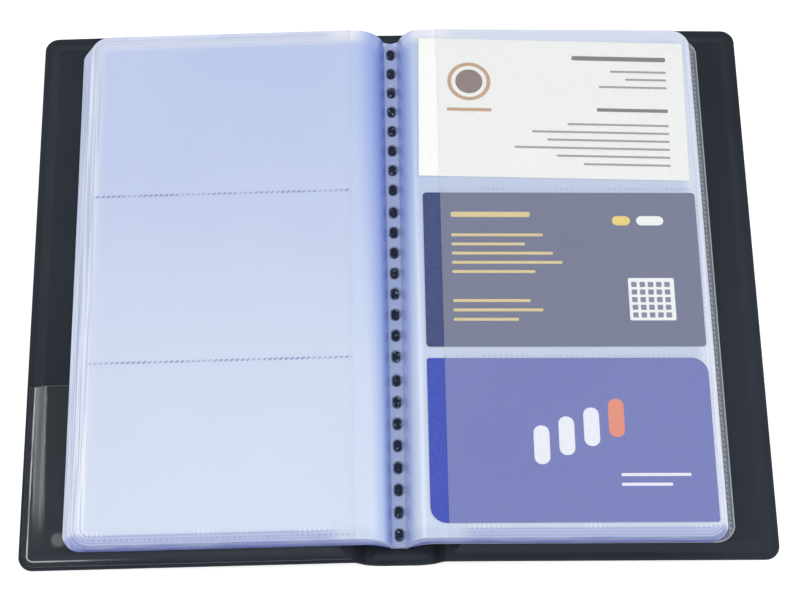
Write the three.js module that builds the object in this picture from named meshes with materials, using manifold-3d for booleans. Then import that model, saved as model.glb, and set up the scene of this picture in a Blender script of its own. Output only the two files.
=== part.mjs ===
// Business card album, lying open in its middle on a table.
// X runs across the open album, Y up its pages, Z up from the table. Millimetres.
import * as THREE from "three";
import { mergeVertices } from "three/addons/utils/BufferGeometryUtils.js";
import Module from "manifold-3d";

const wasm = await Module();
wasm.setup();

// Case: three stiff panels of welded sheet, with a living hinge along each side of the spine
const coverLength = 105;
const coverCornerRadius = 4.5;
const coverLift = 3.66; // height of a cover's hinge side above the table
const spineWidth = 22.46; // along its curve
const spineBendRadius = 14.8; // of the curved sides, on the outer skin
const hingeWidth = 3;
const hingeThickness = 0.8;
const hingeGap = 0.25; // between a hinge web and the panels that it joins
const skinThickness = 0.45;
const liningThickness = 0.4;
const coverBoardThickness = 1.25;
const spineBoardThickness = 0.7;
const sheetGap = 0.1; // between a board and the sheets round it
const coverRim = 3; // width of the weld round a cover
const spineRim = 1.8;
const rimSlope = 1.2; // width over which the lining rises from the weld to the board
const boardSideGap = 0.5;

// Clear pocket welded inside the front cover
const clearPocketHeight = 61.1; // from the cover's near edge to the pocket's open edge
const clearPocketInset = 1; // from the cover's edges to the pocket's welded edges
const clearPocketFilm = 0.2;

// Page block
const sheetCount = 15; // double sheets, each a left leaf and a right leaf
const pageOverhang = 4.9; // how far the covers reach past the pages, above and below
const leafFilm = 0.28;
const leafPitch = 0.42;
const leftLeafStep = 0.25; // how much further out each lower leaf ends
const rightLeafStep = 0.1;
const clearLeafReach = 2.1; // how much further out the lowest right leaf ends than the next one
const leafCornerRadius = 6;
const leafInnerX = 12; // where the flat part of a leaf begins
const turnedLeafInnerX = 8.8; // the same on the page that carries the cards
const blockClearance = 0.23; // between the block and what it lies on

// Card pockets of the two pages that lie open
const rowCount = 3;
const pocketFilm = 0.2;
const pocketDepth = 0.5; // room for a card between the films
const pocketMouthRightX = 15;
const pocketMouthLeftX = 13.6;
const weldWidth = 1.8;
const seamWidth = 1.2;
const weldGap = 0.04;

// Sample cards
const cardLength = 90;
const cardHeight = 55;
const cardThickness = 0.3;
const cardInnerX = 9.34;
const cardEndGap = 0.4; // between a card and the outer weld
const pocketRoom = 3.34; // how much higher a pocket is than a card
const topCardTrim = 2.5; // how much lower the top card is than the others
const topCardTurn = 1.1; // degrees that the top card lies askew, its outer end lower
const topCardSlip = 0.7; // how much further from the outer weld it lies than the others
const topCardGap = 2.6; // between a card and the weld above it
const middleCardGap = 0.95;
const bottomCardGap = 0.45;
const topCardCorner = 0.4;
const middleCardCorner = 1.2;
const bottomCardCorner = 5.3; // at its top right and bottom left
const bottomCardSharpCorner = 0.8; // at the two others

// Binding: the folds of all sheets, welded to a black strip at a row of oblong points
const bindingWidth = 9;
const bindingThickness = 0.5;
const foldWidth = 5.5;
const foldThickness = 1.2;
const rowPointCount = 8; // weld points beside each row of pockets, made in one stroke
const weldGroupGap = 8.35; // from the last weld point of a group to the first of the next
const weldPointWidth = 2.3;
const weldPointLength = 3.7;
const weldPointEndRoom = 2.4; // from the end of a page to the first weld point
const weldPointSink = 0.35; // how far the weld points lie below the folds
const slotClearance = 0.15;
const rootGap = 0.05; // between the folds and the margins that run out of them
const marginFilm = 0.2;
const tipGap = 0.3; // between a margin and its leaf
const crestLength = 4.6; // how far a margin runs level before it bends down
const turnedCrestLength = 2.4;

const cornerSteps = 5;
const marginSteps = 14;
const hingeSteps = 8;
const spineSteps = 6; // on each curved side of the spine

// Sizes worked out from the ones above
const coverTilt = Math.asin(coverLift / coverLength);
const rimThickness = skinThickness + sheetGap + liningThickness;
const coverThickness = rimThickness + coverBoardThickness + sheetGap;
const spineThickness = rimThickness + spineBoardThickness + sheetGap;
const spineFlat = bindingWidth; // the middle of the spine, which lies on the table
const spineBendAngle = (spineWidth - spineFlat) / 2 / spineBendRadius;
const spineEndX = spineFlat / 2 + spineBendRadius * Math.sin(spineBendAngle);
const spineEndZ = spineBendRadius * (1 - Math.cos(spineBendAngle));
const coverStartX = spineEndX + hingeWidth;
const blockBase = coverThickness + sheetGap + clearPocketFilm + blockClearance;
const topLevel = sheetCount - 1;
const pageBase = blockBase + topLevel * leafPitch;
const foldBottom = spineThickness + bindingThickness + rootGap;
const foldTop = foldBottom + foldThickness;
const topLeafEndX = cardInnerX + cardLength + cardEndGap + weldWidth;
const cellHeight = cardHeight + pocketRoom;
const pageHeight = rowCount * cellHeight + (rowCount - 1) * seamWidth + 2 * weldWidth;
const coverHeight = pageHeight + 2 * pageOverhang;
const trayThickness = pocketDepth + pocketFilm - weldGap;
const weldPointCount = rowCount * rowPointCount;
const weldRow = pageHeight - 2 * weldPointEndRoom - weldPointLength;
const weldPointPitch = (weldRow - (rowCount - 1) * weldGroupGap) / (weldPointCount - rowCount);

// What sets the three cards apart, from the top pocket down
const cards = [
  {
    name: "card_top",
    height: cardHeight - topCardTrim,
    turn: topCardTurn,
    slip: topCardSlip,
    gap: topCardGap,
    corner: topCardCorner,
    otherCorner: topCardCorner,
    colour: 0xf1f1ea,
  },
  {
    name: "card_middle",
    height: cardHeight,
    turn: 0,
    slip: 0,
    gap: middleCardGap,
    corner: middleCardCorner,
    otherCorner: middleCardCorner,
    colour: 0x39436e,
  },
  {
    name: "card_bottom",
    height: cardHeight,
    turn: 0,
    slip: 0,
    gap: bottomCardGap,
    corner: bottomCardCorner,
    otherCorner: bottomCardSharpCorner,
    colour: 0x3f4fb5,
  },
];

// Colours of the real materials
const blackVinyl = { color: 0x2c3035, roughness: 0.5, metalness: 0 };
const liningVinyl = { color: 0x33373c, roughness: 0.55, metalness: 0 };
const greyboard = { color: 0x9a958a, roughness: 0.9, metalness: 0 };
const milkyFilm = { color: 0xc8d6f0, roughness: 0.35, metalness: 0 };
const clearFilm = { color: 0xdfe6ee, roughness: 0.15, metalness: 0, transparent: true, opacity: 0.35 };

// A rounded outline seen from above, its corners at the hinge side nearly square
function ring(outline, inset, z) {
  const { x0, x1, y0, y1, radius } = outline;
  const leastRadius = 0.2;
  const outer = Math.max(radius - inset, leastRadius);
  const corners = [
    { x: x1 - inset, y: y1 - inset, sx: 1, sy: 1, r: outer, steps: cornerSteps, from: 0 },
    { x: x0 + inset, y: y1 - inset, sx: -1, sy: 1, r: leastRadius, steps: 1, from: 1 },
    { x: x0 + inset, y: y0 + inset, sx: -1, sy: -1, r: leastRadius, steps: 1, from: 2 },
    { x: x1 - inset, y: y0 + inset, sx: 1, sy: -1, r: outer, steps: cornerSteps, from: 3 },
  ];
  const points = [];
  for (const corner of corners) {
    for (let i = 0; i <= corner.steps; i++) {
      const angle = (Math.PI / 2) * (corner.from + i / corner.steps);
      const x = corner.x - corner.sx * corner.r + corner.r * Math.cos(angle);
      const y = corner.y - corner.sy * corner.r + corner.r * Math.sin(angle);
      points.push(new THREE.Vector3(x, y, z));
    }
  }
  return points;
}

// A closed solid through a run of rings, from its top face round its edge to its underside
function loft(rings) {
  const count = rings[0].length;
  const positions = rings.flat().flatMap((point) => [point.x, point.y, point.z]);
  const index = [];
  for (let k = 0; k + 1 < rings.length; k++) {
    for (let i = 0; i < count; i++) {
      const a = k * count + i;
      const b = k * count + ((i + 1) % count);
      index.push(a, a + count, b + count, a, b + count, b);
    }
  }
  const last = (rings.length - 1) * count;
  for (let i = 1; i + 1 < count; i++) {
    index.push(0, i, i + 1);
    index.push(last, last + i + 1, last + i);
  }
  const geometry = new THREE.BufferGeometry();
  geometry.setAttribute("position", new THREE.Float32BufferAttribute(positions, 3));
  geometry.setIndex(index);
  return geometry;
}

// A flat plate with rounded outer corners
function plate(outline, bottom, thickness) {
  return loft([ring(outline, 0, bottom + thickness), ring(outline, 0, bottom)]);
}

// A sheet that is flat round its edge and stands up over what lies under its middle
function pan(outline, rim, edgeZ, crownZ, thickness) {
  const bend = thickness / 2; // keeps the sheet's thickness on its slope
  return loft([
    ring(outline, rim + rimSlope, crownZ + thickness),
    ring(outline, rim, edgeZ + thickness),
    ring(outline, 0, edgeZ + thickness),
    ring(outline, 0, edgeZ),
    ring(outline, rim + bend, edgeZ),
    ring(outline, rim + rimSlope + bend, crownZ),
  ]);
}

// A profile in the XZ plane, drawn out along Y
function alongY(points, length) {
  const shape = new THREE.Shape(points.map((point) => new THREE.Vector2(point.x, point.y)));
  const geometry = new THREE.ExtrudeGeometry(shape, { depth: length, bevelEnabled: false });
  geometry.rotateX(Math.PI / 2);
  geometry.translate(0, length / 2, 0);
  return geometry;
}

// Geometry to solid and back, for cuts and joins
function solidOf(geometry) {
  const bare = geometry.clone();
  bare.deleteAttribute("normal");
  bare.deleteAttribute("uv");
  const merged = mergeVertices(bare, 1e-4);
  const vertProperties = new Float32Array(merged.attributes.position.array);
  const triVerts = new Uint32Array(merged.index.array);
  return new wasm.Manifold(new wasm.Mesh({ numProp: 3, vertProperties, triVerts }));
}

function geometryOf(solid) {
  const mesh = solid.getMesh();
  const geometry = new THREE.BufferGeometry();
  geometry.setAttribute("position", new THREE.BufferAttribute(mesh.vertProperties, 3));
  geometry.setIndex(new THREE.BufferAttribute(mesh.triVerts, 1));
  return geometry;
}

function mesh(name, geometry, look) {
  const flat = geometry.index ? geometry.toNonIndexed() : geometry;
  flat.computeVertexNormals();
  const made = new THREE.Mesh(flat, new THREE.MeshStandardMaterial(look));
  made.name = name;
  return made;
}

// Skin, board and lining of a cover, welded together round the edge
function coverPanel(prefix, outline) {
  const edgeZ = skinThickness + sheetGap;
  const crownZ = edgeZ + coverBoardThickness + sheetGap;
  const inset = coverRim + rimSlope + boardSideGap;
  const board = {
    x0: outline.x0 + inset,
    x1: outline.x1 - inset,
    y0: outline.y0 + inset,
    y1: outline.y1 - inset,
    radius: 1,
  };
  return [
    mesh(`${prefix}_skin`, plate(outline, 0, skinThickness), blackVinyl),
    mesh(`${prefix}_board`, plate(board, edgeZ, coverBoardThickness), greyboard),
    mesh(`${prefix}_lining`, pan(outline, coverRim, edgeZ, crownZ, liningThickness), liningVinyl),
  ];
}

const coverOutline = {
  x0: 0,
  x1: coverLength,
  y0: -coverHeight / 2,
  y1: coverHeight / 2,
  radius: coverCornerRadius,
};

// A point of the spine's section, by its place along the curve and its height over the outer skin
function onSpine(along, height) {
  const bend = (Math.abs(along) - spineFlat / 2) / spineBendRadius;
  if (bend <= 0) {
    return new THREE.Vector2(along, height);
  }
  const radius = spineBendRadius - height;
  return new THREE.Vector2(
    Math.sign(along) * (spineFlat / 2 + radius * Math.sin(bend)),
    spineBendRadius - radius * Math.cos(bend),
  );
}

// Places on both sides of the middle, in order and none twice
function mirrored(places) {
  const leastStep = 0.01;
  const sorted = [...places.map((place) => -place), ...places].sort((a, b) => a - b);
  return sorted.filter((place, k) => k === 0 || place - sorted[k - 1] > leastStep);
}

// A sheet of the spine, bent to its section. It rises by the crown inside the weld round its edge.
function spineSheet(inset, bottom, thickness, crown) {
  const halfWidth = spineWidth / 2 - inset;
  const halfLength = coverHeight / 2 - inset;
  const slope = (half) => [half - spineRim - rimSlope, half - spineRim, half];
  const side = [];
  for (let k = 0; k < spineSteps; k++) {
    side.push(THREE.MathUtils.lerp(spineFlat / 2, halfWidth, k / spineSteps));
  }
  const columns = mirrored([...side, ...slope(halfWidth)]);
  const rows = mirrored(slope(halfLength));
  const risen = (place, half) => {
    return THREE.MathUtils.clamp((half - spineRim - Math.abs(place)) / rimSlope, 0, 1);
  };
  const positions = [];
  for (const lift of [thickness, 0]) {
    for (const x of columns) {
      for (const y of rows) {
        const share = Math.min(risen(x, halfWidth), risen(y, halfLength));
        const point = onSpine(x, bottom + lift + crown * share);
        positions.push(point.x, y, point.y);
      }
    }
  }
  const down = rows.length;
  const under = columns.length * down;
  const index = [];
  const quad = (a, b, c, d) => index.push(a, b, c, a, c, d);
  for (let i = 0; i + 1 < columns.length; i++) {
    for (let j = 0; j + 1 < down; j++) {
      const a = i * down + j;
      quad(a, a + down, a + down + 1, a + 1);
      quad(under + a, under + a + 1, under + a + down + 1, under + a + down);
    }
    const near = i * down;
    const far = near + down - 1;
    quad(near, under + near, under + near + down, near + down);
    quad(far, far + down, under + far + down, under + far);
  }
  for (let j = 0; j + 1 < down; j++) {
    const right = (columns.length - 1) * down + j;
    quad(j, j + 1, under + j + 1, under + j);
    quad(right, under + right, under + right + 1, right + 1);
  }
  const geometry = new THREE.BufferGeometry();
  geometry.setAttribute("position", new THREE.Float32BufferAttribute(positions, 3));
  geometry.setIndex(index);
  return geometry;
}

// Skin, board and lining of the spine
function spinePanel() {
  const edgeZ = skinThickness + sheetGap;
  const boardInset = spineRim + rimSlope + boardSideGap;
  const crown = spineBoardThickness + sheetGap;
  return [
    mesh("spine_skin", spineSheet(0, 0, skinThickness, 0), blackVinyl),
    mesh("spine_board", spineSheet(boardInset, edgeZ, spineBoardThickness, 0), greyboard),
    mesh("spine_lining", spineSheet(0, edgeZ, liningThickness, crown), liningVinyl),
  ];
}

// Clear pocket of the front cover: welded on three sides, open at its top edge.
// It is drawn at the far end, which becomes the near one when the left side is turned half round.
function clearPocket() {
  const outline = {
    x0: clearPocketInset,
    x1: coverLength - clearPocketInset,
    y0: -coverHeight / 2,
    y1: coverHeight / 2 - clearPocketInset,
    radius: coverCornerRadius - clearPocketInset,
  };
  const rim = coverRim - clearPocketInset - clearPocketFilm;
  const edgeZ = rimThickness + sheetGap;
  const sheet = solidOf(pan(outline, rim, edgeZ, coverThickness + sheetGap, clearPocketFilm));
  const kept = new THREE.BoxGeometry(2 * coverLength, clearPocketHeight, 4 * coverThickness);
  kept.translate(coverLength / 2, coverHeight / 2 - clearPocketHeight / 2, 0);
  return geometryOf(sheet.intersect(solidOf(kept)));
}

// The two faces of a thin band along a curve of the section
function bandFaces(curve, steps, below, above) {
  const upper = [];
  const lower = [];
  for (let k = 0; k <= steps; k++) {
    const point = curve.getPoint(k / steps);
    const tangent = curve.getTangent(k / steps);
    const normal = new THREE.Vector2(-tangent.y, tangent.x);
    upper.push(point.clone().addScaledVector(normal, above));
    lower.push(point.clone().addScaledVector(normal, -below));
  }
  return { upper, lower };
}

// Living hinge: a thin web that climbs from the spine's curved side to a cover
function hingeWeb() {
  const reach = hingeWidth / 3;
  const climb = new THREE.Vector2(Math.cos(spineBendAngle), Math.sin(spineBendAngle));
  const fall = new THREE.Vector2(Math.cos(coverTilt), -Math.sin(coverTilt));
  const start = new THREE.Vector2(spineEndX, spineEndZ).addScaledVector(climb, hingeGap);
  const end = new THREE.Vector2(coverStartX, coverLift).addScaledVector(fall, -hingeGap);
  const curve = new THREE.CubicBezierCurve(
    start,
    start.clone().addScaledVector(climb, reach),
    end.clone().addScaledVector(fall, -reach),
    end,
  );
  const { upper, lower } = bandFaces(curve, hingeSteps, 0, hingeThickness);
  return alongY([...lower, ...upper.reverse()], coverHeight);
}

// Outline of a leaf, which ends further out than the top leaf by its reach
function leafOutline(innerX, reach) {
  return {
    x0: innerX - coverStartX,
    x1: topLeafEndX + reach - coverStartX,
    y0: -pageHeight / 2,
    y1: pageHeight / 2,
    radius: leafCornerRadius,
  };
}

const leafZ = (level) => blockBase + level * leafPitch;
const leftReach = (level) => (topLevel - level) * leftLeafStep;
const rightReach = (level) => (topLevel - level) * rightLeafStep + (level === 0 ? clearLeafReach : 0);

// Middle of each pocket row, from the top row down
function rowCentre(row) {
  return ((rowCount - 1) / 2 - row) * (cellHeight + seamWidth);
}

// Pocket film of an open page: one sheet, welded round three sides and between the rows
function pocketTray(mouthX) {
  const outline = leafOutline(mouthX, 0);
  const bottom = pageBase + leafFilm + weldGap;
  let tray = solidOf(plate(outline, bottom, trayThickness));
  const start = outline.x0 - weldWidth;
  const end = outline.x1 - weldWidth;
  const depth = pocketDepth - weldGap;
  for (let row = 0; row < rowCount; row++) {
    const cell = new THREE.BoxGeometry(end - start, cellHeight, 2 * depth);
    cell.translate((start + end) / 2, rowCentre(row), bottom);
    tray = tray.subtract(solidOf(cell));
  }
  return geometryOf(tray);
}

// A sample card in its pocket row, with one corner radius at the top right and bottom left
function card(row) {
  const { height, turn, slip, gap, corner, otherCorner } = cards[row];
  const x0 = cardInnerX - coverStartX - slip;
  const x1 = x0 + cardLength;
  const y1 = height / 2;
  const y0 = -height / 2;
  const shape = new THREE.Shape();
  shape.absarc(x1 - corner, y1 - corner, corner, 0, Math.PI / 2);
  shape.absarc(x0 + otherCorner, y1 - otherCorner, otherCorner, Math.PI / 2, Math.PI);
  shape.absarc(x0 + corner, y0 + corner, corner, Math.PI, 1.5 * Math.PI);
  shape.absarc(x1 - otherCorner, y0 + otherCorner, otherCorner, 1.5 * Math.PI, 2 * Math.PI);
  const settings = { depth: cardThickness, bevelEnabled: false, curveSegments: cornerSteps };
  const geometry = new THREE.ExtrudeGeometry(shape, settings);
  const centre = (x0 + x1) / 2;
  geometry.translate(-centre, 0, 0);
  geometry.rotateZ(THREE.MathUtils.degToRad(-turn));
  const y = rowCentre(row) + (cellHeight - height) / 2 - gap;
  const slack = (pocketDepth - cardThickness) / 2;
  geometry.translate(centre, y, pageBase + leafFilm + slack);
  return geometry;
}

// A point of a cover's own tilted plane, seen in the XZ plane of the album
function onBlock(x, z) {
  const along = x - coverStartX;
  return new THREE.Vector2(
    coverStartX + along * Math.cos(coverTilt) + z * Math.sin(coverTilt),
    coverLift - along * Math.sin(coverTilt) + z * Math.cos(coverTilt),
  );
}

// Middle line of the margin film that runs from the fold up over the crest to a leaf.
// The lowest film leaves the fold almost flat, and the highest one almost upright.
function marginCurve(level, root, tipX, levelLength) {
  const share = level / topLevel;
  const leaving = THREE.MathUtils.degToRad(THREE.MathUtils.lerp(4, 78, share));
  const reach = THREE.MathUtils.lerp(3.4, 6, share);
  const tip = onBlock(tipX - tipGap, leafZ(level) + leafFilm / 2);
  const rootHandle = new THREE.Vector2(
    root.x + reach * Math.cos(leaving),
    root.y + reach * Math.sin(leaving),
  );
  const tipHandle = new THREE.Vector2(
    tip.x - levelLength * Math.cos(coverTilt),
    tip.y + levelLength * Math.sin(coverTilt),
  );
  return new THREE.CubicBezierCurve(root, rootHandle, tipHandle, tip);
}

// The two faces of a margin film, as rows of points from the fold outwards
function marginFaces(curve) {
  return bandFaces(curve, marginSteps, marginFilm / 2, marginFilm / 2);
}

// All margins of one side: fused at the fold, and apart from where they have room to part
function marginFan(count) {
  const films = [];
  for (let level = 0; level < count; level++) {
    const rootZ = foldBottom + marginFilm / 2 + (foldThickness - marginFilm) * (level / topLevel);
    const root = new THREE.Vector2(foldWidth / 2 + rootGap + marginFilm, rootZ);
    films.push(marginFaces(marginCurve(level, root, leafInnerX, crestLength)));
  }
  const leastGap = 0.05;
  const apart = (k) =>
    films.every((film, i) => {
      if (i === 0) {
        return true;
      }
      const below = films[i - 1];
      const normal = film.upper[k].clone().sub(film.lower[k]).normalize();
      return film.lower[k].clone().sub(below.upper[k]).dot(normal) > leastGap;
    });
  let parting = marginSteps;
  while (parting > 1 && apart(parting - 1)) {
    parting -= 1;
  }
  const outline = [];
  films.forEach((film, i) => {
    const start = i === 0 ? 0 : parting;
    const end = i === count - 1 ? 0 : parting;
    outline.push(...film.lower.slice(start));
    outline.push(...film.upper.slice(end).reverse());
  });
  return alongY(outline, pageHeight);
}

// Margin of the page that turns, on top of the right fan
function turningMargin() {
  const root = new THREE.Vector2(foldWidth / 2 - marginFilm, foldTop + rootGap + marginFilm / 2);
  const film = marginFaces(marginCurve(topLevel, root, turnedLeafInnerX, turnedCrestLength));
  return alongY([...film.lower, ...film.upper.reverse()], pageHeight);
}

// Middle of each weld point along the fold, counted from the far end
function weldPointY(number) {
  const group = Math.floor(number / rowPointCount);
  return weldRow / 2 - number * weldPointPitch - group * (weldGroupGap - weldPointPitch);
}

// A rounded oblong round a weld point
function oblong(number, clearance, Kind) {
  const halfWidth = weldPointWidth / 2 + clearance;
  const straight = weldPointLength / 2 - weldPointWidth / 2;
  const y = weldPointY(number);
  const shape = new Kind();
  shape.absarc(0, y + straight, halfWidth, 0, Math.PI);
  shape.absarc(0, y - straight, halfWidth, Math.PI, 2 * Math.PI);
  return shape;
}

// The fused folds of all double sheets, open where the weld points come through
function boundFolds() {
  const half = foldWidth / 2;
  const shape = new THREE.Shape([
    new THREE.Vector2(-half, -pageHeight / 2),
    new THREE.Vector2(half, -pageHeight / 2),
    new THREE.Vector2(half, pageHeight / 2),
    new THREE.Vector2(-half, pageHeight / 2),
  ]);
  for (let number = 0; number < weldPointCount; number++) {
    shape.holes.push(oblong(number, slotClearance, THREE.Path));
  }
  const settings = { depth: foldThickness, bevelEnabled: false, curveSegments: cornerSteps };
  const geometry = new THREE.ExtrudeGeometry(shape, settings);
  geometry.translate(0, 0, foldBottom);
  return geometry;
}

// The black strip under the folds, drawn up through them at each weld point
function bindingStrip() {
  const base = new THREE.BoxGeometry(bindingWidth, pageHeight, bindingThickness);
  base.translate(0, 0, spineThickness + bindingThickness / 2);
  let strip = solidOf(base);
  const foot = spineThickness + bindingThickness / 2;
  const depth = foldTop - weldPointSink - foot;
  for (let number = 0; number < weldPointCount; number++) {
    const shape = oblong(number, 0, THREE.Shape);
    const settings = { depth, bevelEnabled: false, curveSegments: cornerSteps };
    const point = new THREE.ExtrudeGeometry(shape, settings);
    point.translate(0, 0, foot);
    strip = strip.add(solidOf(point));
  }
  return geometryOf(strip);
}

// One side of the album. What it holds is made as if it lay to the right, and turned for the left.
function albumSide(isLeft) {
  const side = new THREE.Group();
  const tilted = new THREE.Group();
  tilted.position.set(coverStartX, 0, coverLift);
  tilted.rotation.y = coverTilt;
  side.add(tilted);
  if (isLeft) {
    side.rotation.z = Math.PI;
  }
  return { side, tilted };
}

function twoDigits(number) {
  return String(number).padStart(2, "0");
}

const album = new THREE.Group();

album.add(...spinePanel());
album.add(mesh("binding_strip", bindingStrip(), blackVinyl));
album.add(mesh("bound_folds", boundFolds(), milkyFilm));

const left = albumSide(true);
left.side.add(mesh("front_hinge_web", hingeWeb(), blackVinyl));
left.side.add(mesh("left_margins", marginFan(sheetCount), milkyFilm));
left.tilted.add(...coverPanel("front_cover", coverOutline));
left.tilted.add(mesh("front_clear_pocket", clearPocket(), clearFilm));
for (let level = 0; level < sheetCount; level++) {
  const leaf = plate(leafOutline(leafInnerX, leftReach(level)), leafZ(level), leafFilm);
  left.tilted.add(mesh(`left_leaf_${twoDigits(level + 1)}`, leaf, milkyFilm));
}
left.tilted.add(mesh("left_page_pockets", pocketTray(pocketMouthLeftX), clearFilm));
album.add(left.side);

const right = albumSide(false);
right.side.add(mesh("back_hinge_web", hingeWeb(), blackVinyl));
right.side.add(mesh("right_margins", marginFan(sheetCount - 1), milkyFilm));
right.side.add(mesh("turning_page_margin", turningMargin(), milkyFilm));
right.tilted.add(...coverPanel("back_cover", coverOutline));
for (let level = 0; level < topLevel; level++) {
  const leaf = plate(leafOutline(leafInnerX, rightReach(level)), leafZ(level), leafFilm);
  right.tilted.add(mesh(`right_leaf_${twoDigits(level + 1)}`, leaf, milkyFilm));
}
const turningLeaf = plate(leafOutline(turnedLeafInnerX, 0), pageBase, leafFilm);
right.tilted.add(mesh("turning_page_film", turningLeaf, milkyFilm));
right.tilted.add(mesh("turning_page_pockets", pocketTray(pocketMouthRightX), clearFilm));
cards.forEach(({ name, colour }, row) => {
  right.tilted.add(mesh(name, card(row), { color: colour, roughness: 0.5, metalness: 0 }));
});
album.add(right.side);

export default album;
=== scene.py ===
# Card album lying open on a pale floor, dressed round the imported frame.
# Metres, +Z up, X across the album, Y along its spine.
import math

import bpy
from mathutils import Matrix, Vector, noise


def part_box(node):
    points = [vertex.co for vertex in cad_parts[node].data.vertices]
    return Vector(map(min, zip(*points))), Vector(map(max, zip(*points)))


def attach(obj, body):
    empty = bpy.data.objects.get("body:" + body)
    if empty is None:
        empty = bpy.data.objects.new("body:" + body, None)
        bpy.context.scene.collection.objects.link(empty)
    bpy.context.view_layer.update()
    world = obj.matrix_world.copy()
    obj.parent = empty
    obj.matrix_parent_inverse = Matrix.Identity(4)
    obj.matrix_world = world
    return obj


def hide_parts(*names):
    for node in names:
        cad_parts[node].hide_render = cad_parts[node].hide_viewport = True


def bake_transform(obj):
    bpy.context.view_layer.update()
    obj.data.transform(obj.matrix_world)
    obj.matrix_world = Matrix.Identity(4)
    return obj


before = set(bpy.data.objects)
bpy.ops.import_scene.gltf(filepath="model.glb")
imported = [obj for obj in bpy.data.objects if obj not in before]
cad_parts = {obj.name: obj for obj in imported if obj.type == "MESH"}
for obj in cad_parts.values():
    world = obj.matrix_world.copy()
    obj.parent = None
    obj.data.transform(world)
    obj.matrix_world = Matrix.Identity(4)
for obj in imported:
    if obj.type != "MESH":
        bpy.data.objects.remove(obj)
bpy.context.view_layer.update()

MM = 0.001

# Sides of the album: what lies to the left is the mirror image of what lies to the right
LEFT, RIGHT = -1, 1

# View of the photograph, as fitted to the album's corners
VIEW_TARGET = Vector((1.688, -3.153, 0)) * MM
VIEW_DISTANCE = 733.2 * MM
VIEW_AZIMUTH = math.radians(-1.702)
VIEW_ELEVATION = math.radians(65.893)
VIEW_ROLL = math.radians(0.741)
VIEW_LENS = 100.31


# The plane of a cover: x out from the album's middle, y along the spine, w up from its underside
def corner_points(node):
    """The vertices of a CAD node."""
    return [vertex.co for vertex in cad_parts[node].data.vertices]


HINGE = min(corner_points("back_cover_skin"), key=lambda point: point.x)
FOOT = min(corner_points("back_cover_skin"), key=lambda point: point.z)
TILT = math.atan2(HINGE.z - FOOT.z, FOOT.x - HINGE.x)


def on_plane(x, w):
    """(x, z) in the album's section of a place on the right cover's plane."""
    along = x - HINGE.x
    return (
        HINGE.x + along * math.cos(TILT) + w * math.sin(TILT),
        HINGE.z - along * math.sin(TILT) + w * math.cos(TILT),
    )


def on_cover(side, x, y, w):
    """(x, y, z) of a place on the plane of the cover on one side."""
    section_x, z = on_plane(x, w)
    return side * section_x, y, z


def plane_box(node, side):
    """Lowest and highest (x, y, w) of a CAD node on its cover's plane."""
    points = []
    for point in corner_points(node):
        dx, dz = side * point.x - HINGE.x, point.z - HINGE.z
        x = HINGE.x + dx * math.cos(TILT) - dz * math.sin(TILT)
        points.append((x, point.y, dx * math.sin(TILT) + dz * math.cos(TILT)))
    low = Vector([min(values) for values in zip(*points)])
    high = Vector([max(values) for values in zip(*points)])
    return low, high


# Sizes read from the frame
fold_low, fold_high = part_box("bound_folds")
spine_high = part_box("spine_skin")[1]
PAGE_HALF = fold_high.y
COVER_HALF = spine_high.y
COVER_END = plane_box("front_cover_skin", LEFT)[1].x
SHEETS = sum(name.startswith("left_leaf_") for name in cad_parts)
TOP_LEVEL = SHEETS - 1

# The spine lies flat under the binding strip, and is bent up on both sides of it
SPINE_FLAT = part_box("binding_strip")[1].x
SPINE_RADIUS = 14.8 * MM
SPINE_BEND = math.asin((spine_high.x - SPINE_FLAT) / SPINE_RADIUS)
SPINE_HALF = SPINE_FLAT + SPINE_RADIUS * SPINE_BEND  # along its curve


def on_spine(along, height):
    """(x, z) of a place on the spine: along its curve, and its height over the outer skin."""
    bend = (abs(along) - SPINE_FLAT) / SPINE_RADIUS
    if bend <= 0:
        return along, height
    radius = SPINE_RADIUS - height
    x = SPINE_FLAT + radius * math.sin(bend)
    return math.copysign(x, along), SPINE_RADIUS - radius * math.cos(bend)


def share_of(value, low, high):
    """0 to 1 as value goes evenly from low to high."""
    return min(max((value - low) / (high - low), 0), 1)


def smooth(value, low, high):
    """0 to 1 as value goes from low to high, easing in and out."""
    share = share_of(value, low, high)
    return share * share * (3 - 2 * share)


# Shaders
def linear(code):
    """Linear colour of a #rrggbb code, with full alpha."""
    values = [int(code[k : k + 2], 16) / 255 for k in (1, 3, 5)]
    return (*(v / 12.92 if v <= 0.04045 else ((v + 0.055) / 1.055) ** 2.4 for v in values), 1)


class Value:
    """A number, vector or colour from a node. Arithmetic on it adds Math nodes."""

    def __init__(self, nodes, socket):
        self.nodes, self.socket = nodes, socket

    def math(self, operation, *others):
        return self.nodes.math(operation, self, *others)

    def __add__(self, other):
        return self.math("ADD", other)

    def __sub__(self, other):
        return self.math("SUBTRACT", other)

    def __rsub__(self, other):
        return self.nodes.math("SUBTRACT", other, self)

    def __mul__(self, other):
        return self.math("MULTIPLY", other)

    def __abs__(self):
        return self.math("ABSOLUTE")

    def __gt__(self, other):
        return self.math("GREATER_THAN", other)

    def at_least(self, other):
        return self.math("MAXIMUM", other)

    def wave(self, pitch):
        """A sine wave along a length."""
        return (self * (2 * math.pi / pitch)).math("SINE")

    def spread(self, low, high, to_low=0.0, to_high=1.0):
        """The number mapped smoothly from low..high to to_low..to_high."""
        made = self.nodes.node("ShaderNodeMapRange", {"interpolation_type": "SMOOTHSTEP"})
        names = ("Value", "From Min", "From Max", "To Min", "To Max")
        for name, value in zip(names, (self, low, high, to_low, to_high)):
            self.nodes.feed(made.inputs[name], value)
        return Value(self.nodes, made.outputs[0])


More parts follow.
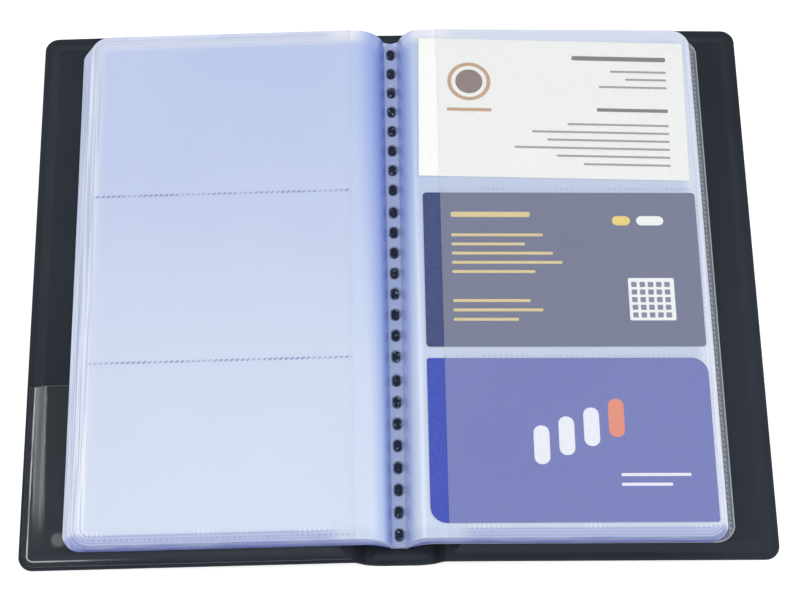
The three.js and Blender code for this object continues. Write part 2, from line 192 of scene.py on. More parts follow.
class Nodes:
    """The nodes of a material or a world, and short calls for them."""

    def __init__(self, owner):
        owner.use_nodes = True
        self.tree = owner.node_tree

    def feed(self, socket, value):
        """Link a socket to a Value, or set it to a number, vector or colour."""
        if isinstance(value, Value):
            self.tree.links.new(value.socket, socket)
        else:
            socket.default_value = linear(value) if isinstance(value, str) else value

    def node(self, kind, settings=(), **inputs):
        made = self.tree.nodes.new(kind)
        for key, value in dict(settings).items():
            setattr(made, key, value)
        for key, value in inputs.items():
            self.feed(made.inputs[key], value)
        return made

    def math(self, operation, *values):
        made = self.node("ShaderNodeMath", {"operation": operation})
        for socket, value in zip(made.inputs, values):
            self.feed(socket, value)
        return Value(self, made.outputs[0])

    def seen(self):
        """1 for a ray that shows what it meets, and 0 for one that only lights."""
        path = self.node("ShaderNodeLightPath")
        kinds = ("Camera", "Glossy", "Transmission")
        camera, glossy, through = (Value(self, path.outputs[f"Is {kind} Ray"]) for kind in kinds)
        return camera.at_least(glossy).at_least(through)


class Shader(Nodes):
    """A material with one Principled shader, called main."""

    def __init__(self, name, roughness, **plain):
        self.material = bpy.data.materials.new(name)
        super().__init__(self.material)
        self.main = self.tree.nodes["Principled BSDF"]
        self.set("Roughness", roughness)
        for socket, value in plain.items():
            self.set(socket.replace("_", " "), value)

    def set(self, name, value):
        self.feed(self.main.inputs[name], value)

    def parts(self, socket):
        """The vector at a socket, and its x, y and z."""
        vector = Value(self, socket)
        split = self.node("ShaderNodeSeparateXYZ", Vector=vector)
        return vector, *(Value(self, part) for part in split.outputs)

    def place(self):
        """Object coordinates in metres."""
        return self.parts(self.node("ShaderNodeTexCoord").outputs["Object"])

    def sheet_place(self):
        """Where a point lies on its film before it is bent: x, y, and the film's level."""
        attribute = self.node("ShaderNodeAttribute", {"attribute_name": "sheet"})
        return self.parts(attribute.outputs["Vector"])

    def vector(self, x=0.0, y=0.0, z=0.0):
        return Value(self, self.node("ShaderNodeCombineXYZ", X=x, Y=y, Z=z).outputs[0])

    def noise(self, vector, scale, detail=2.0, stretch=None):
        if stretch:
            mapping = self.node("ShaderNodeMapping", Vector=vector, Scale=stretch)
            vector = Value(self, mapping.outputs[0])
        made = self.node("ShaderNodeTexNoise", Vector=vector, Scale=scale, Detail=detail)
        return Value(self, made.outputs["Fac"])

    def mix(self, share, a, b):
        made = self.node("ShaderNodeMix", {"data_type": "RGBA"})
        for number, value in ((0, share), (6, a), (7, b)):
            self.feed(made.inputs[number], value)
        return Value(self, made.outputs[2])

    def colour(self, share, a, b):
        """Base colour, mixed from two."""
        self.set("Base Color", self.mix(share, a, b))

    def bump(self, height, distance, strength):
        made = self.node("ShaderNodeBump", Height=height, Distance=distance, Strength=strength)
        self.set("Normal", Value(self, made.outputs[0]))


def length_of(a, b):
    """Length of a vector from its two parts."""
    return (a * a + b * b).math("SQRT")


def vinyl(name, dark, pale):
    """Heat-welded PVC sheet: fine leather grain, slightly uneven colour and sheen."""
    shader = Shader(name, 0.5, Specular_IOR_Level=0.125)
    vector = shader.place()[0]
    cloud = shader.noise(vector, 12.0, 3.0)
    cells = shader.node("ShaderNodeTexVoronoi", Vector=vector, Scale=1600.0)
    grain = Value(shader, cells.outputs["Distance"]) + shader.noise(vector, 900.0, 3.0)
    shader.colour(cloud.spread(0.3, 0.7), dark, pale)
    shader.set("Roughness", cloud.spread(0.2, 0.8, 0.45, 0.56))
    shader.bump(grain, 0.02 * MM, 0.35)
    return shader.material


def glossy_points():
    """The black strip where it shows through the folds: smooth, with pale glints painted into its
    colour as painted highlights.
    """
    shader = Shader("binding_black", 0.3, Specular_IOR_Level=0.18)
    vector = shader.place()[0]
    cloud = shader.noise(vector, 1000.0, 1.0)
    body = shader.mix(shader.noise(vector, 60.0), "#0B0F1C", "#151D38")
    # Painted highlights: pale noise specks in the colour stand in for glints.
    shader.colour(cloud.spread(0.6, 0.7, 0.0, 0.7), body, "#8199A8")
    shader.bump(cloud, 0.2 * MM, 0.6)
    return shader.material


def flecked(name, roughness, grain, span, tones, relief=None, **plain):
    """Board, card or ink with fine flecks of two tones. grain is their noise's scale and detail."""
    shader = Shader(name, roughness, **plain)
    flecks = shader.noise(shader.place()[0], *grain)
    shader.colour(flecks.spread(*span), *tones)
    if relief:
        shader.bump(flecks, *relief)
    return shader.material


# A page: rows of pockets between flat welds, and a toothed wheel's marks along them
ROWS = 3
WELD_WIDTH = 1.8 * MM
SEAM_WIDTH = 1.2 * MM
CORNER_RADIUS = 6 * MM
TOOTH_PITCH = 1.75 * MM
TOOTH_SLANT = 0.8
SEAM_HALF = 0.65 * MM  # half the width of a line of marks
OUTER_WELD_INSET = 1.5 * MM
MARKS_FROM = 13.6 * MM
TICK_PITCH = 1.5 * MM
TICK_ROOM = 2.2 * MM  # from the near weld to the pale ticks beside it

page_low, page_high = plane_box("left_page_pockets", LEFT)
ROW_PITCH = (page_high.y - page_low.y - 2 * WELD_WIDTH + SEAM_WIDTH) / ROWS
HALF_CELL = (ROW_PITCH - SEAM_WIDTH) / 2


def weld_marks(shader, signed_x, y, end_x, outer_strength=0.15):
    """0 to 1: how strongly the welding wheel has marked a film that ends at end_x."""
    x = abs(signed_x)
    edge_y = PAGE_HALF - OUTER_WELD_INSET

    def line(across, place, strength):
        return abs(across - place).spread(SEAM_HALF, SEAM_HALF * 0.3, 0.0, strength)

    def teeth(along, cross):
        return (along + cross * TOOTH_SLANT).wave(TOOTH_PITCH).spread(-0.9, 0.9, 0.2, 1.0)

    marks = line(y, -ROW_PITCH / 2, 1.0)
    for place, strength in ((ROW_PITCH / 2, 1.0), (-edge_y, 0.5), (edge_y, 0.1)):
        marks = marks.at_least(line(y, place, strength))
    wear = shader.noise(shader.vector(x, y), 110.0).spread(0.3, 0.65, 0.4, 0.9)
    inside = x.spread(MARKS_FROM, MARKS_FROM + 1 * MM)
    inside = inside * x.spread(end_x - 2.6 * MM, end_x - 3.4 * MM)
    fainter = 1.0 - (signed_x > 0.0) * 0.65
    marks = marks * teeth(x, y) * wear * inside * fainter
    outer = line(x, end_x - OUTER_WELD_INSET, outer_strength) * teeth(y, x)
    return marks.at_least(outer)


def inset_from_edge(x, y, end_x):
    """How far a place lies inside the rounded outline of a leaf."""
    over_x = x - (end_x - CORNER_RADIUS)
    over_y = abs(y) - (PAGE_HALF - CORNER_RADIUS)
    past = length_of(over_x.at_least(0.0), over_y.at_least(0.0))
    return CORNER_RADIUS - (past + over_x.at_least(over_y).math("MINIMUM", 0.0))


def page_film():
    """A leaf: clear films on films, milky together, with painted light lighter towards the near
    side, and painted shade, darker and bluer, down into the fold where the films crowd.
    """
    shader = Shader("page_film", 0.3, Coat_Weight=0.25, Coat_Roughness=0.1)
    mix = shader.mix
    vector, signed_x, y, level = shader.sheet_place()
    x = abs(signed_x)
    on_right = signed_x > 0.0
    to_near = y.spread(PAGE_HALF, -PAGE_HALF)
    inset = inset_from_edge(x, y, page_high.x)

    # The milky face, with painted light: lighter towards the near side
    cloud = shader.noise(vector, 9.0).spread(0.3, 0.7)
    body = mix(to_near, mix(cloud, "#B3C3E8", "#BBCAEC"), mix(cloud, "#D1DCF0", "#D8E2F4"))

    # The border, which whitens, with a painted glow along the far side
    border = inset.spread(6.5 * MM, 1.5 * MM)
    near_border = y.spread(7 * MM - PAGE_HALF, 3 * MM - PAGE_HALF, 0.0, 0.75)
    body = mix(border * (on_right * 0.3 + 0.5), body, mix(near_border, "#E9EDF8", "#AEBCDA"))
    painted_far_glow = y.spread(PAGE_HALF - 6 * MM, PAGE_HALF - 0.8 * MM, 0.0, 0.85)
    body = mix(painted_far_glow, body, "#F0F0F7")

    # Edges of the leaves below, as fine lines along the border; the light lines are painted lighter
    # towards the near side
    edges = shader.noise(shader.vector(inset * 1900.0, y * 22.0, level), 1.0, 1.0)
    near_side = y.spread(4.6 * MM - PAGE_HALF, 2.6 * MM - PAGE_HALF)
    dark_line = mix(near_side, mix(on_right * 0.7, "#ADB9DA", "#DCE3F0"), "#7E8AC6")
    light_line = mix(near_side, mix(to_near, "#DAE1F2", "#F3F6FC"), "#A9B5DE")
    layered = mix(edges.spread(0.36, 0.62), dark_line, light_line)
    at_edge = inset.spread(4.6 * MM, 3.2 * MM, 0.0, 0.8) * x.spread(16 * MM, 24 * MM)
    body = mix(at_edge, body, layered)

    # Short pale ticks beside the near weld, where the teeth have pulled at the film
    off = abs(y + (PAGE_HALF - OUTER_WELD_INSET - TICK_ROOM))
    patches = shader.noise(shader.vector(x), 60.0).spread(0.46, 0.62)
    ticks = off.spread(1.3 * MM, 0.5 * MM) * x.wave(TICK_PITCH).spread(0.1, 0.9) * patches
    ticks = ticks * x.spread(MARKS_FROM, MARKS_FROM + 8 * MM)
    body = mix(ticks * 0.6, body, "#F4F6FC")

    # Down into the fold: painted shade of the gutter, greyer towards the crests and darker and
    # bluer nearest the fold, weaker on the right side; the films' own blue where they crowd is in
    # it too
    grey = on_right * x.spread(6.5 * MM, 10 * MM, 0.0, 0.26) * (1.0 - border)
    body = mix(grey, body, "#B3BDC8")
    crest = (on_right * 0.03 + 0.2) * x.spread(17 * MM, 11 * MM)
    body = mix(crest, body, "#A8B3C6")
    # The painted shade of the gutter is weaker on the right side.
    paler = 1.0 - on_right * 0.55
    reach = to_near.spread(0.0, 1.0, 13.5 * MM, 9.0 * MM) - on_right * (4.2 * MM)
    body = mix(x.spread(reach, 4.2 * MM) * paler, body, mix(to_near, "#8EA2DF", "#BCCBEE"))
    fold_shade = x.spread(5.4 * MM, 3.0 * MM, 0.0, 0.7) * paler
    body = mix(fold_shade, body, "#6A7FC6")

    marks = weld_marks(shader, signed_x, y, page_high.x)
    shader.colour(marks * 0.6, body, "#8C92CC")
    shader.bump(marks * -1.0, 0.05 * MM, 0.6)
    return shader.material


def fold_film():
    """The fused folds, with painted shade round the weld points and a painted dark image of each
    point beside it.
    """
    shader = Shader("fold_film", 0.2, Coat_Weight=0.5, Coat_Roughness=0.06)
    vector, _, y, shade = shader.sheet_place()
    body = shader.mix(y.spread(PAGE_HALF, -PAGE_HALF), "#9FADD4", "#9CAACC")
    shader.colour(shade, body, "#39456F")
    shader.bump(shader.noise(vector, 260.0, 3.0), 0.25 * MM, 0.4)
    return shader.material


def film_edge():
    """The cut edge of a film, with painted light that it gathers: painted shade, darker and bluer,
    low in the stack, and paler at its outer end.
    """
    shader = Shader("film_edge", 0.22, Coat_Weight=0.4)
    vector, x, y, level = shader.sheet_place()
    streak = shader.noise(vector, 90.0, 3.0, (1, 1, 900)).spread(0.35, 0.65)
    low = shader.mix(streak, "#5E69BC", "#8992E0")
    high = shader.mix(streak, "#98A4E0", "#CDD5F6")
    body = shader.mix(level.spread(1.0, TOP_LEVEL * 0.75), low, high)
    outer = abs(x).spread(page_high.x - 6 * MM, page_high.x - 1 * MM, 0.0, 0.6)
    shader.colour(outer * y.spread(1.5 * MM - PAGE_HALF, 6 * MM - PAGE_HALF), body, "#D3D8E8")
    return shader.material


def fold_end():
    """The cut ends of the folds: film upon film, sagging to the sides."""
    shader = Shader("fold_end", 0.2, Coat_Weight=0.5)
    _, x, _, z = shader.place()
    layers = (z + x * x * -40.0).wave(0.24 * MM)
    shader.colour(layers.spread(-0.6, 0.7), "#5F6DA8", "#DDE4F8")
    return shader.material


def clear_film_edge():
    """The cut edge of a clear film."""
    shader = Shader("clear_film_edge", 0.16, Alpha=0.85, Specular_IOR_Level=0.6)
    cloud = shader.noise(shader.place()[0], 30.0)
    shader.colour(cloud, "#C9D0D6", "#E8EEF8")
    shader.bump(cloud, 0.4 * MM, 0.25)
    return shader.material


def welded_film(name, end_x, outer_strength, alpha, mark_alpha, tint, mark_tint, edge_alpha=0.0):
    """A clear film with the welding wheel's marks. They show denser than it, as its edge may do."""
    shader = Shader(name, 0.16, Specular_IOR_Level=0.6)
    vector, signed_x, y, _ = shader.sheet_place()
    marks = weld_marks(shader, signed_x, y, end_x, outer_strength)
    body = shader.mix(shader.noise(vector, 40.0), tint, "#E6E8EC")
    shader.colour(marks * 0.9, body, mark_tint)
    dense = marks.spread(0.0, 1.0, alpha, mark_alpha)
    if edge_alpha:
        inset = inset_from_edge(abs(signed_x), y, end_x)
        dense = dense.at_least(inset.spread(0.5 * MM, 0.25 * MM, 0.0, edge_alpha))
    shader.set("Alpha", dense)
    shader.bump(marks * -1.0, 0.06 * MM, 0.7)
    return shader.material


POCKET_WELD = 1.7 * MM  # from the outline of the front pocket to the middle of its weld


def front_pocket_film():
    """The front cover's pocket: a light line at its weld, a painted sheen (painted reflection) on
    its bulge, and a small painted reflection spot.
    """
    shader = Shader("front_pocket_film", 0.08, Specular_IOR_Level=0.75)
    vector, inset, y, x = shader.sheet_place()
    cloud = shader.noise(vector, 60.0)
    line = abs(inset - POCKET_WELD).spread(0.35 * MM, 0.1 * MM)
    outer_end = x.spread(COVER_END - 45 * MM, COVER_END - 12 * MM)
    line = line * (outer_end * cloud.spread(0.25, 0.6, 0.4, 1.0))
    # Painted reflection: a sheen band where the film bulges near its outer edge.
    sheen = abs(x + y * y * 0.25 - (COVER_END - 4.4 * MM)).spread(2.6 * MM, 1.5 * MM)
    sheen = sheen * y.spread(5 * MM - COVER_HALF, 24 * MM - COVER_HALF)
    # A small painted reflection spot near the outer corner.
    off_reflection_spot = length_of(x - (COVER_END - 12.6 * MM), y - (9.3 * MM - COVER_HALF))
    reflection_spot = off_reflection_spot.spread(3.4 * MM, 1.4 * MM, 0.0, 0.3)
    dense = (line * 0.7).at_least(sheen * 0.3).at_least(reflection_spot)
    shader.colour(line, "#9CA3A2", "#B4B9BC")
    shader.set("Alpha", dense.spread(0.0, 1.0, 0.015, 0.8))
    shader.bump(cloud, 0.5 * MM, 0.2)
    return shader.material


def ink(name, code):
    """Printing ink, thin over the card's tooth."""
    full = linear(code)
    thin = tuple(min(1.0, value * 1.12 + 0.01) for value in full)
    return flecked(name, 0.45, (1800.0, 2.0), (0.4, 0.7), (full, thin))


# Meshes
SHARP_ANGLE = math.radians(35)


def add_mesh(name, vertices, faces, materials, face_slots=None, places=None):
    """A mesh in the scene. face_slots are the faces' materials by number. places are where the
    points lie on their film before it is bent, for its pattern."""
    mesh = bpy.data.meshes.new(name)
    mesh.from_pydata([tuple(vertex) for vertex in vertices], [], faces)
    for material in materials:
        mesh.materials.append(material)
    if face_slots:
        mesh.polygons.foreach_set("material_index", face_slots)
    mesh.shade_smooth()
    mesh.set_sharp_from_angle(angle=SHARP_ANGLE)
    if places:
        attribute = mesh.attributes.new("sheet", "FLOAT_VECTOR", "POINT")
        attribute.data.foreach_set("vector", [value for point in places for value in point])
    mesh.update()
    made = bpy.data.objects.new(name, mesh)
    bpy.context.scene.collection.objects.link(made)
    return made


def loft_faces(rings, count, first=0):
    """Faces of a closed solid through rings of count vertices each."""
    faces = []
    for k in range(rings - 1):
        for i in range(count):
            a, b = first + k * count + i, first + k * count + (i + 1) % count
            faces.append((a, a + count, b + count, b))
    last = first + (rings - 1) * count
    faces.append(tuple(range(first, first + count)))
    faces.append(tuple(reversed(range(last, last + count))))
    return faces


def rounded(low_x, low_y, high_x, high_y, radii, steps=8):
    """Points round a rounded rectangle, anticlockwise. The radii start at its far right corner."""
    corners = ((high_x, high_y), (low_x, high_y), (low_x, low_y), (high_x, low_y))
    points = []
    for number, ((x, y), radius) in enumerate(zip(corners, radii)):
        x = x - radius if x == high_x else x + radius
        y = y - radius if y == high_y else y + radius
        for k in range(steps + 1):
            angle = math.pi / 2 * (number + k / steps)
            points.append((x + radius * math.cos(angle), y + radius * math.sin(angle)))
    return points


def bezier(p0, p1, p2, p3, t):
    """The point at t, 0 to 1, of a curve in the album's section, and the curve's normal there."""
    s = 1 - t
    point, slope = [], []
    for a, b, c, d in zip(p0, p1, p2, p3):
        point.append(s**3 * a + 3 * s * s * t * b + 3 * s * t * t * c + t**3 * d)
        slope.append(3 * s * s * (b - a) + 6 * s * t * (c - b) + 3 * t * t * (d - c))
    length = math.hypot(*slope)
    return point, (-slope[1] / length, slope[0] / length)


def sheet_faces(across, down, flip=False):
    """Faces of a thin closed sheet, whose upper points, across x down of them, come before its
    lower ones. The second list holds a 1 for each face of its cut edge."""
    under = across * down
    faces = []
    for i in range(across - 1):
        for j in range(down - 1):
            a = i * down + j
            faces.append((a, a + down, a + down + 1, a + 1))
            faces.append((under + a, under + a + 1, under + a + down + 1, under + a + down))
    slots = [0] * len(faces)
    for i in range(across - 1):
        a, b = i * down, (i + 1) * down - 1
        faces.append((a, under + a, under + a + down, a + down))
        faces.append((b, b + down, under + b + down, under + b))
    for j in range(down - 1):
        a, b = j, (across - 1) * down + j
        faces.append((a, a + 1, under + a + 1, under + a))
        faces.append((b, under + b, under + b + 1, b + 1))
    slots += [1] * (len(faces) - len(slots))
    if flip:
        faces = [tuple(reversed(face)) for face in faces]
    return faces, slots


def sheet_solid(name, side, columns, rows, thickness, materials, level, lift=None):
    """A thin film. columns are (x, section point, section normal, half height); rows are y for a
    full-height column, which the rounded corners draw in. lift gives how far a place stands off the
    film's middle line."""
    vertices, places = [], []
    corner_from = PAGE_HALF - CORNER_RADIUS
    for face_sign in (1, -1):
        for x, (px, pz), (nx, nz), half in columns:
            for y in rows:
                if abs(y) > corner_from:
                    share = (abs(y) - corner_from) / CORNER_RADIUS
                    y = math.copysign(corner_from + share * (half - corner_from), y)
                off = face_sign * thickness / 2 + (lift(x, y) if lift else 0)
                vertices.append((side * (px + nx * off), y, pz + nz * off))
                places.append((side * x, y, level))
    faces, slots = sheet_faces(len(columns), len(rows), side == LEFT)
    return add_mesh(name, vertices, faces, materials, slots, places)


# Case
SKIN = 0.45 * MM  # thickness of the sheets
LINING = 0.4 * MM
LINING_BASE = 0.55 * MM  # height of the spine's lining over its outer skin
COVER_RADII = (4.5 * MM, 0.3 * MM, 0.3 * MM, 4.5 * MM)
LEAST_RADIUS = 0.15 * MM
PRESSED = 0.05 * MM  # depth of the pressed line and of the rim's softened edge
SHOULDER_FROM, SHOULDER_TO = 2.2 * MM, 5.8 * MM  # where the lining climbs over the board
SHOULDER_STEPS = 12


def lining_profile(bottom, top):
    """Lining of a cover: welded rim with a pressed line, and a soft shoulder over the board."""
    rim = bottom + LINING
    climb = (SHOULDER_FROM - SHOULDER_TO) / SHOULDER_STEPS
    insets = [SHOULDER_TO + climb * k for k in range(SHOULDER_STEPS + 1)]
    return [
        (9 * MM, top),
        *[(k, rim + (top - rim) * smooth(k, SHOULDER_FROM, SHOULDER_TO)) for k in insets],
        (1.95 * MM, rim - PRESSED), (1.7 * MM, rim),
        (0.4 * MM, rim), (0.12 * MM, rim - PRESSED), (0, rim - 0.18 * MM),
        (0, bottom), (3.2 * MM, bottom), (4.4 * MM, top - 0.5 * MM),
    ]


def skin_profile(bottom, top):
    """Outer skin: flat, with a rounded outer edge and the same pressed line."""
    groove = bottom + 0.1 * MM
    return [
        (6 * MM, top), (0, top), (0, bottom + 0.15 * MM), (0.15 * MM, bottom),
        (2.2 * MM, bottom), (2.5 * MM, groove), (2.9 * MM, groove),
        (3.2 * MM, bottom), (6 * MM, bottom),
    ]


def case_piece(node, body, vertices, faces, material):
    """A sheet of the case, which stands for its CAD node."""
    made = add_mesh(f"{node}_sheet", vertices, faces, [material])
    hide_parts(node)
    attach(made, body)


def cover_sheet(node, side, body, profile, material):
    """A sheet of a cover, lofted through rings. profile gives their (inset, w)."""
    low, high = plane_box(node, side)
    rings = profile(low.z, high.z)
    vertices = []
    for inset, w in rings:
        radii = [max(radius - inset, LEAST_RADIUS) for radius in COVER_RADII]
        ring = rounded(low.x + inset, low.y + inset, high.x - inset, high.y - inset, radii)
        vertices += [on_cover(side, x, y, w) for x, y in ring]
    faces = loft_faces(len(rings), len(vertices) // len(rings))
    if side == LEFT:
        faces = [tuple(reversed(face)) for face in faces]
    case_piece(node, body, vertices, faces, material)


SPINE_CROWN = 0.8 * MM
CLIMB_FROM, CLIMB_TO = 1.4 * MM, 3.4 * MM  # insets between which it rises by the crown
SPINE_ENDS = (0, 0.15, 0.5, 1.0, 1.4, 1.7, 2.0, 2.3, 2.6, 2.9, 3.2, 3.6, 4.2)  # mm from its ends
RIM_SOFTENED, RIM_SOFTENED_WIDTH = 0.12 * MM, 0.4 * MM


def spine_sheet(node, base, thickness, crown, material):
    """A sheet of the spine, bent to its section. Inside its rim it rises by the crown."""
    ends = [COVER_HALF - inset * MM for inset in SPINE_ENDS]
    rows = [-y for y in ends] + [COVER_HALF * k / 20 for k in range(-18, 19)] + ends[::-1]
    columns = [SPINE_HALF * (k / 30 - 1) for k in range(61)]
    vertices = []
    for lift in (thickness, 0):
        for along in columns:
            for y in rows:
                inset = min(SPINE_HALF - abs(along), COVER_HALF - abs(y))
                height = base + lift + crown * smooth(inset, CLIMB_FROM, CLIMB_TO)
                if lift and crown:
                    height -= RIM_SOFTENED * (1 - smooth(inset, 0, RIM_SOFTENED_WIDTH))
                x, z = on_spine(along, height)
                vertices.append((x, y, z))
    faces, _ = sheet_faces(len(columns), len(rows))
    case_piece(node, "spine", vertices, faces, material)


WEB_THICKNESS = 0.86 * MM
WEB_GROOVE = 0.12 * MM
WEB_OVERLAP = 0.35 * MM
WEB_REACH = 1.2 * MM  # length of its curve's handles


def hinge_web(name, side, material):
    """Living hinge: one thin web from the spine's rim up to the cover's, pressed into a groove."""
    start = Vector(on_spine(SPINE_HALF - WEB_OVERLAP, 0))
    end = Vector(on_plane(HINGE.x + WEB_OVERLAP, 0.0))
    climb = Vector((math.cos(SPINE_BEND), math.sin(SPINE_BEND)))
    fall = Vector((math.cos(TILT), -math.sin(TILT)))
    curve = (start, start + climb * WEB_REACH, end - fall * WEB_REACH, end)
    steps, down = 16, 41
    vertices = []
    for sign in (1, 0):
        for i in range(steps + 1):
            share = i / steps
            point, normal = bezier(*curve, share)
            off = sign * (WEB_THICKNESS - WEB_GROOVE * math.sin(math.pi * share) ** 2)
            x, z = point[0] + normal[0] * off, point[1] + normal[1] * off
            vertices += [(side * x, COVER_HALF * (2 * j / (down - 1) - 1), z) for j in range(down)]
    faces, _ = sheet_faces(steps + 1, down, side == LEFT)
    made = add_mesh(name, vertices, faces, [material])
    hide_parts(f"{name}_web")
    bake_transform(made)


def build_case(skin, lining, board):
    """Spine, covers and hinges. The boards inside keep their CAD shape."""
    spine_sheet("spine_skin", 0, SKIN, 0, skin)
    spine_sheet("spine_lining", LINING_BASE, LINING, SPINE_CROWN, lining)
    covers = ((LEFT, "front"), (RIGHT, "back"))
    for side, name in covers:
        cover = f"{name}_cover"
        cover_sheet(f"{cover}_skin", side, cover, skin_profile, skin)
        cover_sheet(f"{cover}_lining", side, cover, lining_profile, lining)
    for side, name in covers:
        hinge_web(f"{name}_hinge", side, skin)
    for node in ("spine_board", "front_cover_board", "back_cover_board"):
        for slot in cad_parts[node].material_slots:
            slot.link = "OBJECT"
            slot.material = board


# Page block
ROOT_OVERLAP = 0.35 * MM
MARGIN_STEPS = 16
ROOT_INSET = 0.1 * MM  # of the lowest and highest root inside the fold
END_STAGGER = 0.01 * MM  # keeps the ends of films that touch at the fold out of one plane
LEAVING_LOW, LEAVING_TOP = 40, 78  # degrees: steep enough that the lowest clear the closed covers
REACH_LOW, REACH_TOP = 4.4 * MM, 6 * MM
CREST_LEVEL = 4.6 * MM
TURNED_CREST_LEVEL = 2.4 * MM
CORNER_STEPS = 8
CORNER_LAST = math.radians(80)  # where a leaf's corner arc is cut off by its outer edge
FLUTTER = 0.05 * MM
FLUTTER_FROM = 30 * MM


def margin_columns(level, root, tip_x, tip_w, level_length):
    """The bent stretch of a film from the fold over the crest to the flat of its leaf."""
    share = level / TOP_LEVEL
    leaving = math.radians(LEAVING_LOW + (LEAVING_TOP - LEAVING_LOW) * share)
    reach = REACH_LOW + (REACH_TOP - REACH_LOW) * share
    tip = on_plane(tip_x, tip_w)
    root_handle = (root[0] + reach * math.cos(leaving), root[1] + reach * math.sin(leaving))
    tip_handle = (tip[0] - level_length * math.cos(TILT), tip[1] + level_length * math.sin(TILT))
    columns = []
    for k in range(MARGIN_STEPS + 1):
        along = k / MARGIN_STEPS
        point, normal = bezier(root, root_handle, tip_handle, tip, along)
        behind = END_STAGGER * (TOP_LEVEL + 1 - level) * (1 - along)
        columns.append((point[0], point, normal, PAGE_HALF - behind))
    return columns


def flat_column(x, end_x, w):
    """A column across the flat of a leaf, which is shorter in the leaf's rounded corners."""
    into = share_of(x, end_x - CORNER_RADIUS, end_x) * math.sin(CORNER_LAST)
    half = PAGE_HALF - CORNER_RADIUS + CORNER_RADIUS * math.sqrt(1 - into * into)
    return x, on_plane(x, w), (math.sin(TILT), math.cos(TILT)), half


def flat_columns(start_x, end_x, w, steps=9):
    """The flat stretch of a leaf, with rounded outer corners."""
    corner_from = end_x - CORNER_RADIUS
    places = [start_x + (corner_from - start_x) * k / steps for k in range(steps + 1)]
    for k in range(1, CORNER_STEPS + 1):
        into = math.sin(CORNER_LAST * k / CORNER_STEPS) / math.sin(CORNER_LAST)
        places.append(corner_from + CORNER_RADIUS * into)
    return [flat_column(x, end_x, w) for x in places]


# Rows along a page, closer together in its rounded corners
CORNER_ROWS = [PAGE_HALF - CORNER_RADIUS * (1 - k / 5) for k in range(6)]
INNER_ROWS = [CORNER_ROWS[0] * (k / 8 - 1) for k in range(17)]
PAGE_ROWS = [-y for y in CORNER_ROWS[:0:-1]] + INNER_ROWS + CORNER_ROWS[1:]


def leaf(side, half, number, materials):
    """A leaf of the left or right half with its margin, in one piece from the fold to its end."""
    node = f"{half}_leaf_{number:02d}"
    low, high = plane_box(node, side)
    level = number - 1
    middle = (low.z + high.z) / 2
    lowest, highest = fold_low.z + ROOT_INSET, fold_high.z - ROOT_INSET
    root = (fold_high.x - ROOT_OVERLAP, lowest + (highest - lowest) * level / TOP_LEVEL)
    columns = margin_columns(level, root, low.x, middle, CREST_LEVEL)
    columns += flat_columns(low.x, high.x, middle)[1:]
    thickness = (high.z - low.z) * 1.15

    def flutter(x, y):
        """Slight waves towards its free outer edge."""
        wave = noise.noise(Vector((x * 20, y * 35, (level + side) * 7.3)))
        return FLUTTER * share_of(x, FLUTTER_FROM, high.x) * wave

    name = f"{node}_film"
    made = sheet_solid(name, side, columns, PAGE_ROWS, thickness, materials, level, flutter)
    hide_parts(node)
    start, end = (side * fold_high.x, 0, 0), (side * (low.x - 1 * MM), 0, 0)
    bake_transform(made)
    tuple(start)
    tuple(end)
    if number == 1:
        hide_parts(f"{half}_margins")


POCKET_FILM = 0.14 * MM
POCKET_WAVE = 0.04 * MM
POCKET_GAP = 0.03 * MM  # from its weld to the page


def pocket_rows(fine):
    """Rows of a pocket film: close together where it comes down to its welds."""
    rows = set(CORNER_ROWS) | {-y for y in CORNER_ROWS}
    for row in range(ROWS):
        centre = (row - (ROWS - 1) / 2) * ROW_PITCH
        rows.update(centre + HALF_CELL * 0.9 * (k / 4 - 1) for k in range(9))
        rows.update(centre + sign * (HALF_CELL - off) for sign in (1, -1) for off in fine)
    return sorted({round(y, 7) for y in rows})


def pocket_film(name, side, body, materials, base_w, fall):
    """The film of three pockets, which comes down from its full height to the welds within fall."""
    node = f"{name}_page_pockets"
    low, high = plane_box(node, side)
    weld_w = base_w + POCKET_FILM / 2 + POCKET_GAP
    rise = high.z - POCKET_FILM / 2 - weld_w
    end = high.x - WELD_WIDTH

    def lift(x, y):
        row = min(max(round(y / ROW_PITCH), -1), 1)
        inside = HALF_CELL - abs(y - row * ROW_PITCH)
        wave = POCKET_WAVE * (noise.noise(Vector((x * 30, y * 30, 3.1))) - 1)
        return (rise + wave) * smooth(inside, 0, fall) * smooth(end - x, 0, fall)

    fine = [fall * k / 4 for k in range(5)]
    columns = flat_columns(low.x, high.x, weld_w, 14)
    columns += [flat_column(end - off, high.x, weld_w) for off in fine]
    columns.sort(key=lambda column: column[0])
    rows, name = pocket_rows(fine), f"{name}_pocket_film"
    made = sheet_solid(name, side, columns, rows, POCKET_FILM, materials, TOP_LEVEL, lift)
    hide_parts(node)
    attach(made, body)


def turning_page(materials):
    """The page that carries the cards, with its margin in two pieces."""
    low, high = plane_box("turning_page_film", RIGHT)
    middle = (low.z + high.z) / 2
    thickness = (high.z - low.z) * 0.9
    root = (fold_high.x - 0.3 * MM, fold_high.z + 0.1 * MM)
    margin = margin_columns(TOP_LEVEL, root, low.x, middle, TURNED_CREST_LEVEL)
    split = MARGIN_STEPS // 2

    def sheet(name, columns):
        return sheet_solid(name, RIGHT, columns, PAGE_ROWS, thickness, materials, TOP_LEVEL)

    lower = sheet("turning_margin_root", margin[: split + 1])
    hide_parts("turning_page_margin")
    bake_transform(lower)
    upper = sheet("turning_margin_crest", margin[split:])
    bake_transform(upper)
    page = sheet("turning_page_sheet", flat_columns(low.x, high.x, middle))
    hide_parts("turning_page_film")
    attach(page, "turning_page")


